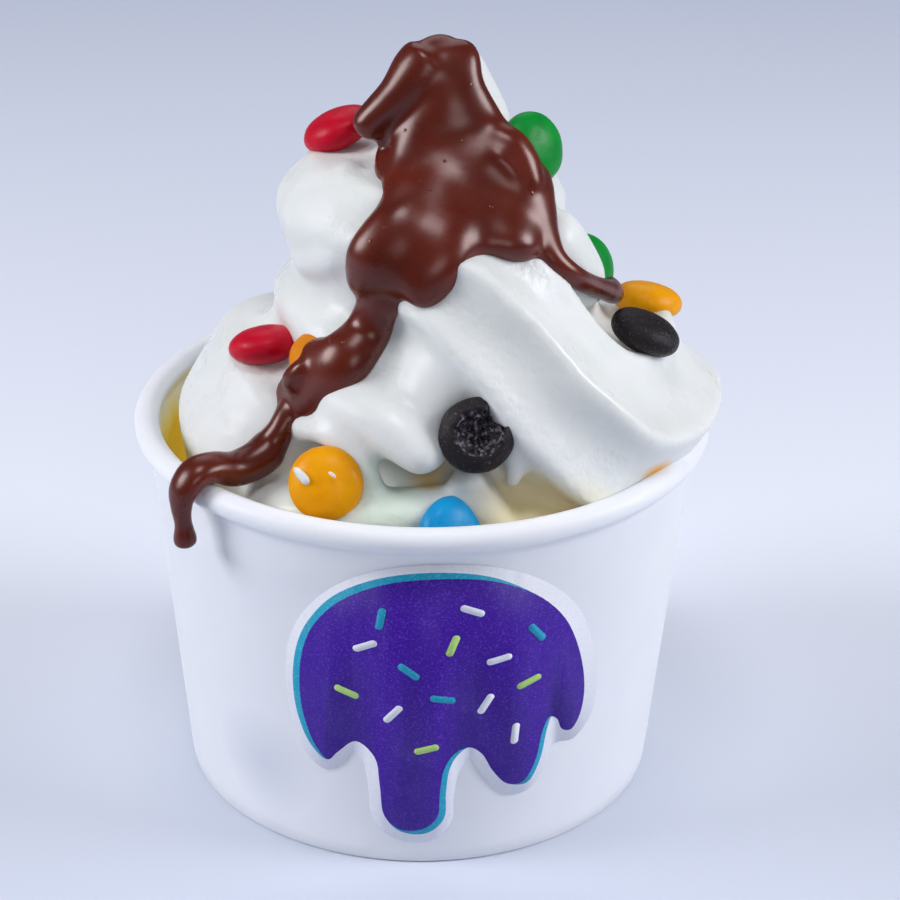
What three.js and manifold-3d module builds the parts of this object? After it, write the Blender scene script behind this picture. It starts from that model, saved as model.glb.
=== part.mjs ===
// A paper cup of soft frozen yogurt, piped in ribbed turns and topped with hardened
// chocolate sauce and sugar-coated lentils. Millimetres, +Z up, the cup's axis on Z.
// Places round the cup are (turn, out, up): turn in degrees from the front (-Y), positive
// towards the right (+X), out from the axis, up from the table.
import * as THREE from 'three';
import { ParametricGeometry } from 'three/addons/geometries/ParametricGeometry.js';
import { mergeVertices } from 'three/addons/utils/BufferGeometryUtils.js';
import Module from 'manifold-3d';

const wasm = await Module();
wasm.setup();

// ---- driving dimensions -------------------------------------------------------------
const GAP = 0.3; // clearance between pieces that touch

// paper cup
const RIM_RADIUS = 49;
const RIM_HEIGHT = 66.5;
const BEAD_RADIUS = 2.1; // the rolled rim
const FOOT_RADIUS = 41;
const WALL_TOP_RADIUS = 46.8; // outside of the wall just under the bead
const WALL = 0.9;
const FOOT_WALL = 1.5; // folded paper of the standing ring
const BOTTOM_UP = 6; // height of the recessed bottom disc
const BOTTOM_THICK = 1;
const CUP_SIDES = 48;

// yogurt below the piped turns
const FILL_LEVEL = 46; // where the fill leaves the wall
const RIDGES = 7; // of the star nozzle
const RIDGE_DEPTH = 0.11; // of the rope's half width

// sugar-coated chocolate lentils
const LENTIL_RADIUS = 6;
const LENTIL_HALF_THICK = 3.1;

// sticker on the wall, measured flat from the front: x to the right, z up
const LABEL_THICK = 0.4;
const LABEL_BORDER = 1.8; // white margin round the printed drip shape
const PRINT_LEFT = -20.1;
const PRINT_RIGHT = 26.9;
const PRINT_TOP = 57;
const PRINT_SHOULDER = 38; // height where the arch meets the straight sides
// drips of the print from right to left: [middle, half width, bottom]
const PRINT_DRIPS = [
  [24.1, 2.8, 23],
  [15.9, 4.2, 14.8],
  [-1.7, 4.9, 6.3],
  [-15.5, 4.6, 20],
];
const PRINT_NOTCH_TOPS = [27, 24, 24.5]; // between neighbouring drips

// ---- small tools --------------------------------------------------------------------
const rad = THREE.MathUtils.degToRad;

function around(turn, out, up) {
  return new THREE.Vector3(out * Math.sin(rad(turn)), -out * Math.cos(rad(turn)), up);
}

// A closed solid from a geometry whose seams and poles meet.
function solid(geometry) {
  const bare = geometry.clone();
  bare.deleteAttribute('normal');
  bare.deleteAttribute('uv');
  const merged = mergeVertices(bare, 1e-4);
  const all = merged.index.array;
  const kept = [];
  for (let i = 0; i < all.length; i += 3) {
    const [a, b, c] = [all[i], all[i + 1], all[i + 2]];
    if (a !== b && b !== c && c !== a) kept.push(a, b, c);
  }
  const build = (tris) => new wasm.Manifold(new wasm.Mesh({
    numProp: 3,
    vertProperties: new Float32Array(merged.attributes.position.array),
    triVerts: new Uint32Array(tris),
  }));
  const made = build(kept);
  if (made.volume() > 0) return made;
  for (let i = 0; i < kept.length; i += 3) [kept[i], kept[i + 1]] = [kept[i + 1], kept[i]];
  return build(kept);
}

function union(solids) {
  return solids.reduce((whole, next) => whole.add(next));
}

// Also drops sealed hollows, which count as pieces of negative volume.
function biggestPiece(made) {
  return made.decompose().reduce((best, next) => (next.volume() > best.volume() ? next : best));
}

function geometryOf(made) {
  const { numProp, vertProperties, triVerts } = made.getMesh();
  const xyz = new Float32Array((vertProperties.length / numProp) * 3);
  for (let i = 0; i < xyz.length / 3; i++) {
    for (let k = 0; k < 3; k++) xyz[3 * i + k] = vertProperties[numProp * i + k];
  }
  const geometry = new THREE.BufferGeometry();
  geometry.setAttribute('position', new THREE.BufferAttribute(xyz, 3));
  geometry.setIndex(new THREE.BufferAttribute(new Uint32Array(triVerts), 1));
  geometry.computeVertexNormals();
  return geometry;
}

// A profile of [radius, height] pairs turned about Z.
function turned(profile, sides) {
  const points = profile.map(([r, z]) => new THREE.Vector2(r, z));
  return new THREE.LatheGeometry(points, sides).rotateX(Math.PI / 2);
}

// ---- paper cup ----------------------------------------------------------------------
function wallRadius(up) {
  return FOOT_RADIUS + ((WALL_TOP_RADIUS - FOOT_RADIUS) * up) / (RIM_HEIGHT - BEAD_RADIUS);
}

// The cup's section; grow thickens it all round, for cutting what lies against it.
function cupProfile(grow = 0) {
  const beadUp = RIM_HEIGHT - BEAD_RADIUS;
  const beadOut = RIM_RADIUS - BEAD_RADIUS;
  const bottomTop = BOTTOM_UP + BOTTOM_THICK;
  const points = [
    [0, BOTTOM_UP - grow],
    [wallRadius(BOTTOM_UP) - FOOT_WALL - grow, BOTTOM_UP - grow],
    [FOOT_RADIUS - FOOT_WALL - grow, -grow],
    [FOOT_RADIUS + grow, -grow],
    [wallRadius(beadUp - BEAD_RADIUS) + grow, beadUp - BEAD_RADIUS],
  ];
  const beadTurns = [-60, -25, 10, 45, 80, 115, 150, 185];
  for (const a of beadTurns) {
    points.push([
      beadOut + (BEAD_RADIUS + grow) * Math.cos(rad(a)),
      beadUp + (BEAD_RADIUS + grow) * Math.sin(rad(a)),
    ]);
  }
  points.push([wallRadius(beadUp - BEAD_RADIUS) - WALL - grow, beadUp - BEAD_RADIUS]);
  points.push([wallRadius(bottomTop) - WALL - grow, bottomTop + grow]);
  points.push([0, bottomTop + grow]);
  return points;
}

// ---- frozen yogurt ------------------------------------------------------------------
// Stations along a piped rope: [turn, out, up, half width, half height].
// The outer turn starts low at the front left, runs round the back, climbs across the
// front, closes the upper turn and ends in the peak.
const LONG_ROPE = [
  [-38, 26, 57, 10, 12],
  [-66, 25.5, 61, 12.5, 18],
  [-95, 25.3, 62, 12.8, 19],
  [-135, 27, 60, 14.5, 17],
  [-180, 30, 60, 15, 15],
  [-225, 31, 61, 16, 15],
  [-262, 33, 65.5, 16.5, 18],
  [-288, 33.5, 66.5, 16, 17.5],
  [-308, 32.5, 69, 15, 16],
  [-322, 28, 78, 14.5, 15],
  [-334, 21.5, 89, 13.5, 14],
  [-352, 15, 97, 12, 12],
  [-385, 13.5, 100.5, 11, 10.5],
  [-425, 14, 101, 10.5, 9.5],
  [-470, 14, 101.5, 10.5, 9.5],
  [-520, 13, 101, 11, 9.5],
  [-575, 13, 100, 12, 10],
  [-625, 14, 101, 12, 11],
  [-665, 11, 106, 10, 10],
  [-710, 6, 110, 7, 8],
];
// runs of the long rope that each stay clear of themselves, by station
const LONG_ROPE_RUNS = [[0, 14], [12, 18], [16, 20]];
const INNER_ROPE = [
  [12, 20, 76, 12, 10],
  [-25, 18, 81, 11, 9],
  [-60, 16, 85, 11, 8.5],
  [-100, 15.5, 86, 11, 8.5],
  [-150, 16, 85, 11, 9],
  [-200, 17, 85, 12, 9],
  [-250, 19, 87, 12.5, 10],
  [-285, 18, 89, 11, 9],
];
const FRONT_BED = [
  [6, 37, 51, 6, 7],
  [-12, 37.5, 55, 7, 8.5],
  [-38, 37, 54, 7.5, 8.5],
  [-64, 36, 48, 8, 8],
];
const TAIL_CURL = [
  [4, 35.5, 62, 4, 4.5],
  [2, 35, 66, 5, 5.5],
  [-5, 33, 71, 5, 5.5],
  [-17, 30, 75.5, 5, 5],
  [-34, 25, 76, 5.5, 5.5],
];
const PEAK = [
  [60, 3, 104, 13, 12],
  [75, 4, 112, 10.5, 10],
  [90, 4.5, 119, 8, 8],
  [90, 4.8, 125, 6, 6],
  [90, 4.6, 129.3, 5, 5],
];
const CORE = [[0, 40], [36, 46], [30, 60], [27, 78], [24, 88], [19, 98], [12, 108], [0, 112]];

// Ways to face a rope's section: its first axis lies as near to these as it can.
const radial = (at) => new THREE.Vector3(at.x, at.y, 0).normalize();
const sloping = (at) => radial(at).add(new THREE.Vector3(0, 0, 1)).normalize();
const rightward = () => new THREE.Vector3(1, 0, 0);

// A rope of star section that tapers to a point at both ends; grow swells it.
function ropeGeometry(stations, { ridges, depth, slices, stacks, phase = 0, grow = 0, facingOut = radial }) {
  const middle = new THREE.CatmullRomCurve3(stations.map(([t, o, u]) => around(t, o, u)));
  const size = new THREE.CatmullRomCurve3(stations.map(([, , , w, h]) => new THREE.Vector3(w, h, 0)));
  const endLength = 0.55 / (stations.length - 1);
  return new ParametricGeometry((u, v, target) => {
    const along = THREE.MathUtils.clamp(v, 0, 1);
    const at = middle.getPoint(along);
    const tangent = middle.getTangent(along);
    const outward = facingOut(at);
    outward.addScaledVector(tangent, -outward.dot(tangent)).normalize();
    const upward = new THREE.Vector3().crossVectors(tangent, outward).normalize();
    const { x: wide, y: tall } = size.getPoint(along);
    const toEnd = Math.min(along, 1 - along) / endLength;
    const taper = toEnd >= 1 ? 1 : Math.sqrt(Math.max(0, 1 - (1 - toEnd) ** 2));
    const angle = 2 * Math.PI * (u % 1);
    const star = 1 + depth * (Math.abs(Math.cos((ridges * (angle - rad(phase))) / 2)) * 2 - 1);
    const across = (wide * star + grow) * taper * Math.cos(angle);
    const rise = (tall * star + grow) * taper * Math.sin(angle);
    const endPush = (along < 0.5 ? -grow : grow) * (1 - taper);
    target.copy(at).addScaledVector(outward, across).addScaledVector(upward, rise);
    target.addScaledVector(tangent, endPush);
  }, slices, stacks);
}

function yogurtMass(grow) {
  const star = { ridges: RIDGES, depth: RIDGE_DEPTH, slices: 4 * RIDGES, phase: 90 / RIDGES, grow };
  const plain = { ridges: 2, depth: 0, slices: 12, grow };
  const bottom = BOTTOM_UP + BOTTOM_THICK + GAP - grow;
  const fill = [
    [0, bottom],
    [wallRadius(bottom) - WALL - GAP + grow, bottom],
    [wallRadius(FILL_LEVEL) - WALL - GAP + grow, FILL_LEVEL],
    [34, FILL_LEVEL + 8],
    [0, FILL_LEVEL + 8],
  ];
  const core = CORE.map(([r, z]) => [r > 0 ? r + grow : 0, z + (z > 100 ? grow : 0)]);
  return union([
    solid(turned(fill, CUP_SIDES)),
    solid(turned(core, 20).translate(2, 0, 0)),
    ...LONG_ROPE_RUNS.map(([from, to]) => (
      solid(ropeGeometry(LONG_ROPE.slice(from, to), { ...star, stacks: 2 * (to - from) }))
    )),
    solid(ropeGeometry(INNER_ROPE, { ...star, stacks: 10 })),
    solid(ropeGeometry(FRONT_BED, { ...plain, stacks: 12 })),
    solid(ropeGeometry(TAIL_CURL, { ...plain, stacks: 12 })),
    solid(ropeGeometry(PEAK, { ...star, ridges: 5, slices: 20, stacks: 9, facingOut: rightward })),
  ]);
}

// ---- chocolate lentils --------------------------------------------------------------
// [name, colour, [turn, out, up] of the middle, [turn, tilt] its flat face looks towards]
const LENTILS = [
  ['candy_red_upper', '#b5162e', [-112, 15.5, 113], [-99, 65]],
  ['candy_red_lower', '#b5162e', [-68, 28, 81.3], [-150, 72]],
  ['candy_orange', '#e08a1c', [-38, 25.5, 83.5], [-20, 65]],
  ['candy_yellow_front', '#f0a800', [-23, 39, 68.6], [-8, 30]],
  ['candy_blue', '#2aa0d8', [7, 39, 61.3], [40, 21]],
  ['candy_cracked', '#2e2529', [13, 37, 77.3], [5, 24]],
  ['candy_brown', '#2e2529', [70, 38.5, 85.2], [100, 67]],
  ['candy_yellow_right', '#f0a800', [98, 38.5, 83.2], [150, 72]],
  ['candy_green_upper', '#009a44', [66, 18.6, 114.5], [40, 22]],
  ['candy_green_lower', '#009a44', [84, 26.8, 92], [45, 20]],
];
// the broken coat of one lentil: bites [across, up, radius] on its face
const BROKEN_AT = [[0.6, 0.4, 2.9], [3.6, 3.6, 2.4]];

function lentilGeometry(grow = 0) {
  const rows = 5;
  const profile = [];
  for (let i = 0; i <= rows; i++) {
    const a = rad(-90 + (180 * i) / rows);
    const out = (LENTIL_RADIUS + grow) * Math.cos(a) ** 0.85;
    profile.push([i % rows === 0 ? 0 : out, (LENTIL_HALF_THICK + grow) * Math.sin(a)]);
  }
  return turned(profile, 16);
}

function facing(geometry, [turn, out, up], [toTurn, tilt]) {
  return geometry.rotateX(rad(90 - tilt)).rotateZ(rad(toTurn)).translate(...around(turn, out, up));
}

function lentil(name, middle, faces) {
  const whole = solid(facing(lentilGeometry(), middle, faces));
  if (name !== 'candy_cracked') return whole;
  const bites = BROKEN_AT.map(([x, y, r]) => {
    const bite = new THREE.IcosahedronGeometry(r, 1).translate(x, y, LENTIL_HALF_THICK);
    return solid(facing(bite, middle, faces));
  });
  return biggestPiece(whole.subtract(union(bites)));
}

// ---- chocolate sauce ----------------------------------------------------------------
// Streams as flat ropes: [turn, up, half width, half thickness, out]; without an out they
// lie on the yogurt, with one they hang free of it.
const SAUCE_STREAMS = [
  // over the peak and down the front
  [[50, 130.6, 5.5, 7, 3.4], [35, 126.5, 7.5, 8, 3.2], [27, 119, 9, 5.5], [20, 111, 11, 5],
    [14, 105, 10, 4.5], [4, 99, 6.5, 4.2], [-6, 95.5, 3.5, 3.4]],
  // the long run: down the left of the front, over the rim and into a hanging drop
  [[-2, 110, 7, 4.4], [-6, 106, 7, 4.4], [-10, 101, 6.5, 4.4], [-14, 96.5, 5, 4.2], [-19, 92, 4.2, 4.2],
    [-24, 88.5, 4, 4, 27], [-31, 84, 4, 3.8, 30], [-37, 79, 4, 3.8, 31], [-41.5, 74.5, 3.8, 3.8, 32],
    [-44, 70.5, 3.8, 3.6, 34], [-46, 67.8, 3.6, 3.4, 37.5], [-46.5, 67.3, 3.4, 3, 41.5], [-46.5, 69, 3.4, 2.6, 45.5], [-47, 69, 3.2, 2.4, 48.6],
    [-47.5, 66, 2.8, 2, 51], [-47, 61, 2.3, 1.7, 51.2], [-46.5, 56.5, 2.8, 2.2, 50.9]],
  // the right lobe of the front
  [[34, 116, 6, 4.2], [38, 109, 7, 4.2], [36, 104, 6, 4.2], [35, 99.5, 4, 3.6]],
  // the thin run to the right
  [[50, 110, 4.5, 4], [58, 104, 4, 4], [66, 98, 3.4, 3.6], [76, 92.5, 3, 3.4], [84, 89.5, 2.8, 3.2, 31],
    [88, 87.5, 2.8, 2.8, 34]],
  // the arm that reaches left from the peak
  [[10, 126, 5, 5, 3.5], [-32, 122.3, 4.2, 4, 6.5], [-54, 118.3, 3.6, 3.4, 10], [-62, 115.5, 3, 3, 12]],
];

function streamGeometry(stream, surface, grow = 0) {
  const stations = stream.map(([turn, up, wide, thick, out]) => {
    const from = around(turn, 90, up);
    const inward = around(turn, 0, up).sub(from).normalize();
    const hit = new THREE.Raycaster(from, inward).intersectObject(surface)[0];
    return [turn, out ?? 90 - hit.distance, up, thick, wide];
  });
  return ropeGeometry(stations, {
    ridges: 2, depth: 0, slices: 8, stacks: 2 * stations.length, grow, facingOut: sloping,
  });
}

// ---- sticker ------------------------------------------------------------------------
function labelOutline(border) {
  const shape = new THREE.Shape();
  const left = PRINT_LEFT - border;
  const right = PRINT_RIGHT + border;
  const middle = (left + right) / 2;
  const top = PRINT_TOP + border;
  const pull = 0.56; // of the half width: bezier handle of a quarter ellipse
  shape.moveTo(left, PRINT_SHOULDER);
  shape.bezierCurveTo(
    left, PRINT_SHOULDER + pull * (top - PRINT_SHOULDER),
    middle - pull * (middle - left), top, middle, top,
  );
  shape.bezierCurveTo(
    middle + pull * (right - middle), top,
    right, PRINT_SHOULDER + pull * (top - PRINT_SHOULDER), right, PRINT_SHOULDER,
  );
  PRINT_DRIPS.forEach(([x, half, bottom], i) => {
    const width = half + border;
    const low = bottom + half;
    shape.lineTo(x + width, low);
    if (i === PRINT_NOTCH_TOPS.length) {
      shape.absarc(x, low, width, 0, -Math.PI, true);
      return;
    }
    const [nextX, nextHalf] = PRINT_DRIPS[i + 1];
    const nextRight = nextX + nextHalf + border;
    const notch = (x - width - nextRight) / 2;
    if (notch < 0.3) {
      shape.absarc(x, low, width, 0, -Math.acos((nextRight - x) / width), true);
      return;
    }
    shape.absarc(x, low, width, 0, -Math.PI, true);
    const notchMiddle = PRINT_NOTCH_TOPS[i] - border - notch;
    shape.lineTo(x - width, notchMiddle);
    shape.absarc(nextRight + notch, notchMiddle, notch, 0, Math.PI, false);
  });
  shape.closePath();
  return shape;
}

function labelSolid() {
  const plate = new THREE.ExtrudeGeometry(labelOutline(LABEL_BORDER), {
    depth: RIM_RADIUS, bevelEnabled: false, curveSegments: 8,
  }).rotateX(Math.PI / 2);
  const shell = [0.2, 0.9].map((share) => share * RIM_HEIGHT);
  const near = shell.map((z) => [wallRadius(z) + GAP, z]);
  const far = shell.map((z) => [wallRadius(z) + GAP + LABEL_THICK, z]).reverse();
  const lowest = [[wallRadius(1) + GAP + LABEL_THICK, 1], [wallRadius(1) + GAP, 1]];
  return solid(plate).intersect(solid(turned([...near, ...far, ...lowest, near[0]], CUP_SIDES)));
}

// ---- the model ----------------------------------------------------------------------
const model = new THREE.Group();

function place(name, made, material) {
  const mesh = new THREE.Mesh(geometryOf(made), new THREE.MeshStandardMaterial(material));
  mesh.name = name;
  model.add(mesh);
}

const cup = solid(turned(cupProfile(), CUP_SIDES));
const cupRoom = solid(turned(cupProfile(GAP), CUP_SIDES));
const outside = solid(turned(
  [[FOOT_RADIUS, -1], [RIM_RADIUS + 20, -1], [RIM_RADIUS + 20, RIM_HEIGHT - BEAD_RADIUS],
    [RIM_RADIUS - BEAD_RADIUS, RIM_HEIGHT - BEAD_RADIUS], [FOOT_RADIUS, -1]],
  CUP_SIDES,
));
const lentilRooms = union(LENTILS.map(([, , middle, faces]) => (
  solid(facing(lentilGeometry(GAP), middle, faces))
)));
const yogurt = biggestPiece(yogurtMass(0).subtract(cupRoom).subtract(outside).subtract(lentilRooms));
const yogurtRoom = biggestPiece(yogurtMass(GAP));
const yogurtSurface = new THREE.Mesh(geometryOf(yogurt), new THREE.MeshStandardMaterial());
const sauce = biggestPiece(
  union(SAUCE_STREAMS.map((stream) => solid(streamGeometry(stream, yogurtSurface))))
    .subtract(yogurtRoom).subtract(cupRoom).subtract(lentilRooms),
);

place('paper_cup', cup, { color: '#e9eef6', roughness: 0.55, metalness: 0 });
place('cup_label', labelSolid(), { color: '#3d1496', roughness: 0.5, metalness: 0 });
place('frozen_yogurt', yogurt, { color: '#f4f4f0', roughness: 0.4, metalness: 0 });
place('chocolate_sauce', sauce, { color: '#4a2218', roughness: 0.25, metalness: 0 });
for (const [name, color, middle, faces] of LENTILS) {
  place(name, lentil(name, middle, faces), { color, roughness: 0.35, metalness: 0 });
}

export default model;
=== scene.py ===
"""A paper cup of soft frozen yogurt with chocolate sauce and sugar-coated lentils.

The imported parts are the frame; every piece here is shaped in millimetres, in the frame's axes, and
brought to metres when it is finished. Places round the cup are (turn, out, up): turn in degrees
from the front (-Y), positive towards the right (+X), out from the cup's axis, up from the table.
"""

import math

import bmesh
import bpy
import numpy as np
from mathutils import Matrix, Vector, noise
from mathutils.bvhtree import BVHTree


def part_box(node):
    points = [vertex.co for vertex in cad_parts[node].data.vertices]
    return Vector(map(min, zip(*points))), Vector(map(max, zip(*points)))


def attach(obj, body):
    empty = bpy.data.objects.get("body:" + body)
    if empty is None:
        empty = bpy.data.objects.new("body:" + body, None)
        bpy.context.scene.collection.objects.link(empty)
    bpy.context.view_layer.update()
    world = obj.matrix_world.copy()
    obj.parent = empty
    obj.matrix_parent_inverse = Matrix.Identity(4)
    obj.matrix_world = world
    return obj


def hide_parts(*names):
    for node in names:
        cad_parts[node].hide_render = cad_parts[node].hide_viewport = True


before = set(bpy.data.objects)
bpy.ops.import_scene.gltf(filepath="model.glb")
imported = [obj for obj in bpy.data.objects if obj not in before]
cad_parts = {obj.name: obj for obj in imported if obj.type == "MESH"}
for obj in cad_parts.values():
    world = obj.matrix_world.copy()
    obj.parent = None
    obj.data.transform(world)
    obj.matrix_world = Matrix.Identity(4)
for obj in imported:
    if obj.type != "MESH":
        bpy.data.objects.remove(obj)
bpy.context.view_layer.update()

MM = 0.001  # metres in a millimetre

# ---- sizes taken from the frame ------------------------------------------------------
cup_low, cup_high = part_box("paper_cup")
RIM_RADIUS = cup_high.x / MM
RIM_HEIGHT = cup_high.z / MM

# paper cup
BEAD_RADIUS = 2.1  # the rolled rim
BEAD_UP = RIM_HEIGHT - BEAD_RADIUS
FOOT_RADIUS = 41
WALL_TOP_RADIUS = 46.8  # outside of the wall just under the bead
WALL = 0.9
FOOT_WALL = 1.5  # folded paper of the standing ring
FOOT_ROUND = 0.4
BOTTOM_UP = 6  # height of the recessed bottom disc
BOTTOM_THICK = 1
BOTTOM_ROUND = 0.8
CLEARANCE = 0.3  # between the board and the yogurt
YOGURT_BOTTOM = BOTTOM_UP + BOTTOM_THICK + CLEARANCE
LOW_GREY_PATCH = (-38, 43, 15)  # the faint darker grey patch low on the wall, left of the front
SEAM_HALF_WIDTH, SEAM_BOTTOM, SEAM_TOP, SEAM_RISE = 3, 1.5, 61.5, 0.22

# label, measured flat from the front: x to the right, z up
PRINT = [  # the dripping field, clockwise from its left side
    (-19.7, 33), (-19.3, 40), (-17.5, 46), (-13, 52), (-6, 56), (2, 57.3), (11, 56.3), (18, 52.5),
    (23, 46.5), (26, 38), (27, 30), (26.3, 25), (25, 23), (23.5, 23.7), (22.5, 26.3), (21.3, 27.2),
    (20.2, 25), (19, 18.5), (17, 15), (14.5, 15.3), (12, 18.5), (10, 22.5), (8, 24), (5.7, 23), (4, 20),
    (3.3, 15), (2.9, 9.8), (0.5, 7.4), (-3.2, 7.2), (-5.8, 9.8), (-6.6, 16), (-7.5, 22), (-10.5, 24.8),
    (-13.5, 22), (-15.2, 20), (-17.2, 22.3), (-19, 27.5),
]
UNDERPRINT = [  # the second colour, which shows past the field's left and top and beside its drips
    (-20.8, 34), (-20.2, 41), (-18.4, 46.5), (-14, 52.8), (-7, 57), (1.5, 58.5), (10.5, 57.2), (18, 52.5),
    (23, 46.5), (26, 38), (27, 30), (26.3, 25), (25, 23), (23.5, 23.7), (22.5, 26.3), (21.6, 27.2),
    (20.9, 25), (19.8, 18.5), (17.8, 14.6), (14.5, 15.3), (12, 18.5), (10, 22.5), (8, 24), (6.3, 22.8),
    (4.9, 20), (4.3, 15), (4, 9.4), (1.2, 6.5), (-3.2, 6.8), (-5.8, 9.8), (-6.6, 16), (-7.5, 22),
    (-10.5, 24.8), (-13.5, 22), (-15.4, 19.9), (-18, 22.3), (-20, 27.5),
]
STICKER = [  # the white die-cut border
    (-22, 34), (-21.4, 42), (-19.2, 48), (-14.5, 54), (-7.5, 58.3), (2, 60), (12, 58.6), (19.5, 54.5),
    (25, 48), (28.2, 39), (29.2, 30), (28.3, 24), (25.5, 20.8), (22.3, 21.2), (20.8, 17), (18, 13),
    (14, 13), (10.5, 17), (8, 21.5), (6.4, 19), (5.6, 14), (5.2, 8.5), (2, 4.9), (-3.6, 5), (-7.6, 8.5),
    (-8.6, 16), (-9.5, 21), (-11, 22.4), (-12.8, 19.4), (-15.6, 17.8), (-18.8, 20.2), (-21.2, 26.5),
]
STICKER_UP, INK_UP = 0.2, 0.04  # the border above the wall, and each print above the one below
LABEL_THICK = 0.1
STRIP = 1.2  # width of the strips that the label is bent in
SPRINKLE_LENGTH, SPRINKLE_WIDTH = 4.2, 1.3
WHITE, CYAN, VIOLET, LIME = range(4)
SPRINKLES = [  # (x, z, tilt, ink)
    (-9, 44, 25, WHITE), (-2, 39.5, -40, CYAN), (5, 44.5, 70, LIME), (12.5, 41, 10, WHITE),
    (18.5, 45, -55, CYAN), (-12, 34.5, -20, LIME), (-4.5, 31, 50, WHITE), (3.5, 34, -10, CYAN),
    (10.5, 32.5, 60, WHITE), (17.5, 35.5, 20, LIME), (-6.5, 49.5, 80, CYAN), (8, 51, -25, WHITE),
    (1, 24, 15, LIME), (15.5, 25.5, 85, WHITE),
]

# ---- piped yogurt: stations (turn, out, up, half width, half height, ridge depth) -------
RIDGES = 7  # of the star nozzle
PEAK_RIDGES = 5
FILL_LEVEL = 46
PLAIN_UNDER = 40  # nothing below this is seen, so there the yogurt is a plain wall
YOGURT_SOFTENED = (0.8, 2, 1.8)  # voxel, smoothing and closing of the piped ropes
FOLDS_SOFTENED = (0.75, 3, 0.5)  # and with the folds on them
LONG_ROPE = [
    (-38, 26, 57, 10, 12, 0.03), (-66, 26.5, 60.5, 14.3, 19.3, 0.05), (-95, 26.8, 61.5, 15, 20.3, 0.05),
    (-135, 27, 60, 15.2, 18, 0.07), (-180, 30, 60, 15, 15, 0.1), (-225, 31, 61, 16, 15, 0.12),
    (-262, 33, 65.5, 16.5, 18, 0.13), (-288, 33.5, 66.5, 16, 17.5, 0.14), (-308, 32.5, 69, 15, 16, 0.15),
    (-322, 28, 78, 14.5, 15, 0.15), (-334, 21.5, 89, 13.5, 14, 0.15), (-352, 15, 97, 12, 12, 0.12),
    (-385, 13.5, 100.5, 11, 10.5, 0.06), (-425, 14, 101, 10.5, 9.5, 0.04),
    (-470, 14, 101.5, 10.5, 9.5, 0.05), (-520, 13, 101, 11, 9.5, 0.05), (-575, 13, 100, 11.6, 10, 0.04),
    (-625, 13, 101, 10.8, 10.5, 0.03), (-665, 10, 106, 9.5, 10, 0.03), (-710, 6, 110, 7, 8, 0.04),
]
INNER_ROPE = [
    (12, 20, 76, 12, 10, 0.02), (-25, 18, 81, 11, 9, 0.03), (-60, 15.4, 85, 9.8, 8.5, 0.03),
    (-100, 15, 86, 10.4, 8.5, 0.04), (-150, 16, 85, 11, 9, 0.08), (-200, 17, 85, 12, 9, 0.1),
    (-250, 19, 87, 12.5, 10, 0.08), (-285, 18, 89, 11, 9, 0.05),
]
PEAK = [(60, 3, 104, 13, 12, 0.08), (75, 4, 112, 10.5, 10, 0.08), (90, 4.5, 119, 8, 8, 0.06),
        (90, 4.3, 125, 5.8, 5.8, 0.04), (90, 3.8, 128.6, 4.6, 4.6, 0.02)]
# folds, swells and melt on the ropes, with no ridges
FRONT_BED = [(6, 37, 51, 6, 7), (-12, 37.5, 55, 7, 8.5), (-38, 37, 54, 7.5, 8.5), (-64, 36, 48, 8, 8)]
TAIL_CURL = [(3, 36.3, 71, 3.6, 3), (0, 35, 73.6, 5, 4), (-8, 32.4, 76.4, 5.5, 4.6),
             (-19, 29.6, 77.6, 5.5, 5), (-33, 26, 77, 5.5, 5.5)]
FRONT_SWELL = [(16, 23, 86, 8, 8), (9, 25, 82, 8.5, 8), (1, 25.5, 78.5, 8.5, 7), (-9, 25, 77, 8, 6.5),
               (-22, 22, 78, 7, 6)]
CAVITY_BED = [(8, 37, 50, 6, 7), (24, 35, 57, 7, 6.5), (38, 34, 58.5, 7.5, 6.5), (58, 32, 53, 7, 7)]
CAVITY_LUMP = [(10, 34, 71, 3, 3), (13, 35, 67, 3.4, 3.4), (17, 36, 62.5, 3.8, 3.6), (20, 37, 58, 4, 3.6)]
CAVITY_LEDGE = [(20, 37, 76, 1.6, 1.6), (22, 38, 73, 2, 1.6), (22, 38.6, 70.4, 1.8, 1.4),
                (20, 38.6, 68, 1.5, 1.3)]
FOLD = [(-52, 29, 70, 2.4, 2.4), (-39, 30.6, 72.6, 2.4, 2.4), (-27, 33, 74.5, 2.6, 2.2),
        (-18, 34.5, 72, 2.4, 2.2), (-13, 36, 67.5, 2.2, 2.2), (-13, 37, 63, 2.2, 2.2)]
MELT = [(-50, 37, 60, 4, 3.6), (-37, 36.8, 61.6, 5, 3.2), (-24, 36.4, 62.6, 5.5, 3.6),
        (-12, 36, 63, 5.5, 3.8), (-2, 35, 63, 5, 4), (8, 34, 62, 4.8, 4.4), (16, 35, 59, 4, 4)]
CREST = [(-84, 12, 109.6, 1.8, 1.6), (-58, 15.3, 109.3, 2.2, 1.8), (-47, 18.8, 107.6, 2.2, 1.8),
         (-40, 20.6, 105.6, 2, 1.8), (-33, 21.2, 103.4, 1.6, 1.6)]
STEP = [(-80, 19.5, 95.5, 3, 3), (-61, 20.6, 96.3, 3.2, 3.4), (-45, 21.2, 98.3, 3.2, 3.4),
        (-32, 21.6, 100, 3, 3)]
LENTIL_REST = [(56, 21.5, 103, 5, 5.5), (66, 23.6, 98, 5.2, 6), (73, 25.3, 93, 5.2, 6),
               (80, 27, 88, 4.6, 5)]
PEAK_SIDE = [(97, 7, 126.6, 1.4, 1.4), (94, 8.6, 123.4, 2.1, 2.2), (90, 10.3, 119, 2.8, 3),
             (86, 12.4, 114, 3, 3)]
FOLDS = (FRONT_BED, TAIL_CURL, FRONT_SWELL, CAVITY_BED, CAVITY_LUMP, CAVITY_LEDGE, FOLD, MELT, CREST, STEP,
         LENTIL_REST, PEAK_SIDE)
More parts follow.
